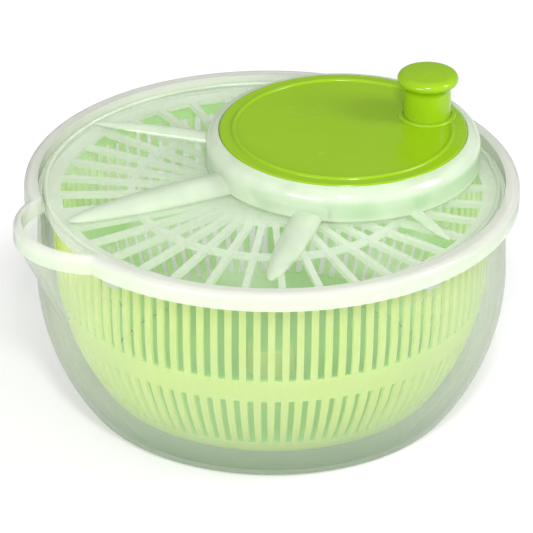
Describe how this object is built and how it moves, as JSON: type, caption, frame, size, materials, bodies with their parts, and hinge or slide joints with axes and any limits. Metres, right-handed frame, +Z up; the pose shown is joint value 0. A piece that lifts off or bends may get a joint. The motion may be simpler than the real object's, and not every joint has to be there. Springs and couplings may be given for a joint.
{
  "type": "salad spinner",
  "caption": "Round clear bowl with a pouring spout, a slotted green basket and a clear lid whose off-centre crank disc spins the basket through an internal gear.",
  "frame": {"origin": "centre of the bowl's flat base on the table, on the spin axis", "axes": "+Z up the spin axis of the basket; the pouring spout points to -X"},
  "size_m": [0.2655, 0.25, 0.1573],
  "materials": {
    "clear_bowl": "clear plastic with a faint grey-green tint",
    "clear_lid": "clear plastic, glossy, slightly milky",
    "clear_plate": "translucent plastic, satin",
    "green_basket": "translucent plastic, satin",
    "lime_gloss": "glossy moulded plastic",
    "white_acetal": "satin acetal",
    "steel": "turned stainless steel"
  },
  "bodies": {
    "bowl": {"bowl": "clear_bowl", "pivot_pin": "steel"},
    "bearing": {"basket_bearing": "white_acetal"},
    "basket": {"basket": "green_basket"},
    "lid": {"lid": "clear_lid", "gear_tray": "clear_lid", "tray_screws": "steel", "crank_bush": "white_acetal", "pinion_bush": "white_acetal"},
    "crank": {"crank_disc": "lime_gloss", "ring_gear": "white_acetal", "ring_gear_screws": "steel", "crank_spindle": "steel", "spindle_washer": "steel", "spindle_screw": "steel"},
    "knob": {"knob": "lime_gloss", "knob_axle": "steel", "knob_washer": "steel", "knob_screw": "steel"},
    "drive": {"drive_plate": "clear_plate", "pinion": "white_acetal", "pinion_shaft": "white_acetal", "shaft_washer": "steel", "shaft_screw": "steel"}
  },
  "joints": [
    {"name": "basket_lift", "type": "slide", "parent": "bowl", "child": "bearing", "axis": [0, 0, 1], "range_m": [0, 0.13]},
    {"name": "basket_spin", "type": "hinge", "parent": "bearing", "child": "basket", "pos_m": [0, 0, 0.015], "axis": [0, 0, 1], "continuous": true},
    {"name": "lid_lift", "type": "slide", "parent": "bearing", "child": "lid", "axis": [0, 0, 1], "range_m": [0, 0.12]},
    {"name": "crank_spin", "type": "hinge", "parent": "lid", "child": "crank", "pos_m": [0.04546, 0.00851, 0.121], "axis": [0, 0, 1], "continuous": true},
    {"name": "drive_spin", "type": "hinge", "parent": "lid", "child": "drive", "pos_m": [0, 0, 0.115], "axis": [0, 0, 1], "continuous": true},
    {"name": "knob_spin", "type": "hinge", "parent": "crank", "child": "knob", "pos_m": [0.09086, 0.00245, 0.133], "axis": [0, 0, 1], "continuous": true}
  ],
  "couplings": [
    {"joint": "drive_spin", "follows": "crank_spin", "ratio": 5.1111},
    {"joint": "basket_spin", "follows": "crank_spin", "ratio": 5.1111}
  ]
}
